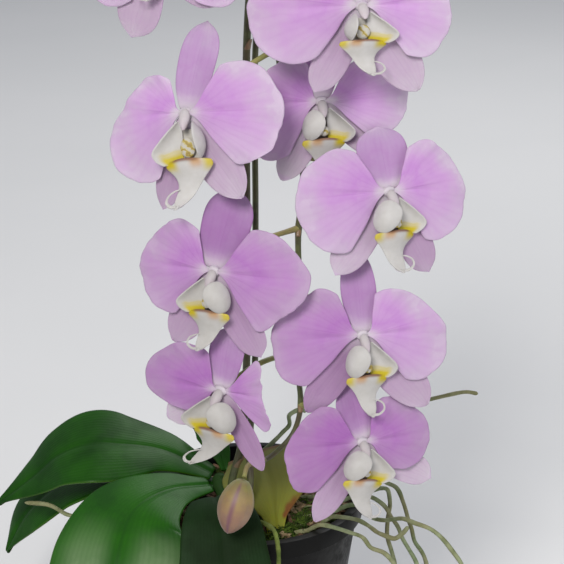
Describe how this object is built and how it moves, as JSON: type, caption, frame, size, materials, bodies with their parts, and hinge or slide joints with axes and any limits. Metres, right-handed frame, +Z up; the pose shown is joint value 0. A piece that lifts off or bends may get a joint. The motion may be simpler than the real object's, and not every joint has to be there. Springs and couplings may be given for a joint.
{
  "type": "potted moth orchid",
  "caption": "Potted moth orchid with arching flower spikes, lilac pink flowers with white lips, broad leaves and aerial roots in a black plastic pot.",
  "frame": {"origin": "centre of the flat underside of the pot", "axes": "+Z up, the flowers face -Y, +X to the viewer's right"},
  "size_m": [0.2437, 0.1487, 0.4097],
  "materials": {
    "petal": "soft lilac pink petal, paler towards its rim",
    "sepal": "soft lilac pink sepal, whiter towards its tip",
    "lip": "waxy white with yellow and red brown marks",
    "bud": "matt beige pink",
    "spike": "smooth olive stalk",
    "leaf": "glossy dark green",
    "old_leaf": "dull yellow green",
    "root": "matt grey green",
    "medium": "bark chips and moss",
    "pot": "satin black plastic"
  },
  "bodies": {
    "root": {"flower_1_sepals": "sepal", "flower_1_petal_left": "petal", "flower_1_petal_right": "petal", "flower_1_lip_and_column": "lip", "flower_2_sepals": "sepal", "flower_2_petal_left": "petal", "flower_2_petal_right": "petal", "flower_2_lip_and_column": "lip", "flower_3_sepals": "sepal", "flower_3_petal_left": "petal", "flower_3_petal_right": "petal", "flower_3_lip_and_column": "lip", "flower_4_sepals": "sepal", "flower_4_petal_left": "petal", "flower_4_petal_right": "petal", "flower_4_lip_and_column": "lip", "flower_5_sepals": "sepal", "flower_5_petal_left": "petal", "flower_5_petal_right": "petal", "flower_5_lip_and_column": "lip", "flower_6_sepals": "sepal", "flower_6_petal_left": "petal", "flower_6_petal_right": "petal", "flower_6_lip_and_column": "lip", "flower_7_sepals": "sepal", "flower_7_petal_left": "petal", "flower_7_petal_right": "petal", "flower_7_lip_and_column": "lip", "flower_8_sepals": "sepal", "flower_8_petal_left": "petal", "flower_8_petal_right": "petal", "flower_8_lip_and_column": "lip", "flower_9_sepals": "sepal", "flower_9_petal_left": "petal", "flower_9_petal_right": "petal", "flower_9_lip_and_column": "lip", "spike_front": "spike", "spike_back": "spike", "bud": "bud", "leaf_left": "leaf", "leaf_front": "leaf", "leaf_front_right": "leaf", "leaf_back_left": "leaf", "leaf_young": "leaf", "leaf_old": "old_leaf", "plant_stem": "spike", "root_hanging_1": "root", "root_hanging_2": "root", "root_hanging_3": "root", "root_hanging_4": "root", "root_hanging_5": "root", "root_hanging_6": "root", "root_upper_right": "root", "root_left": "root", "root_front": "root", "root_back": "root", "pot": "pot", "growing_medium": "medium"}
  },
  "joints": []
}
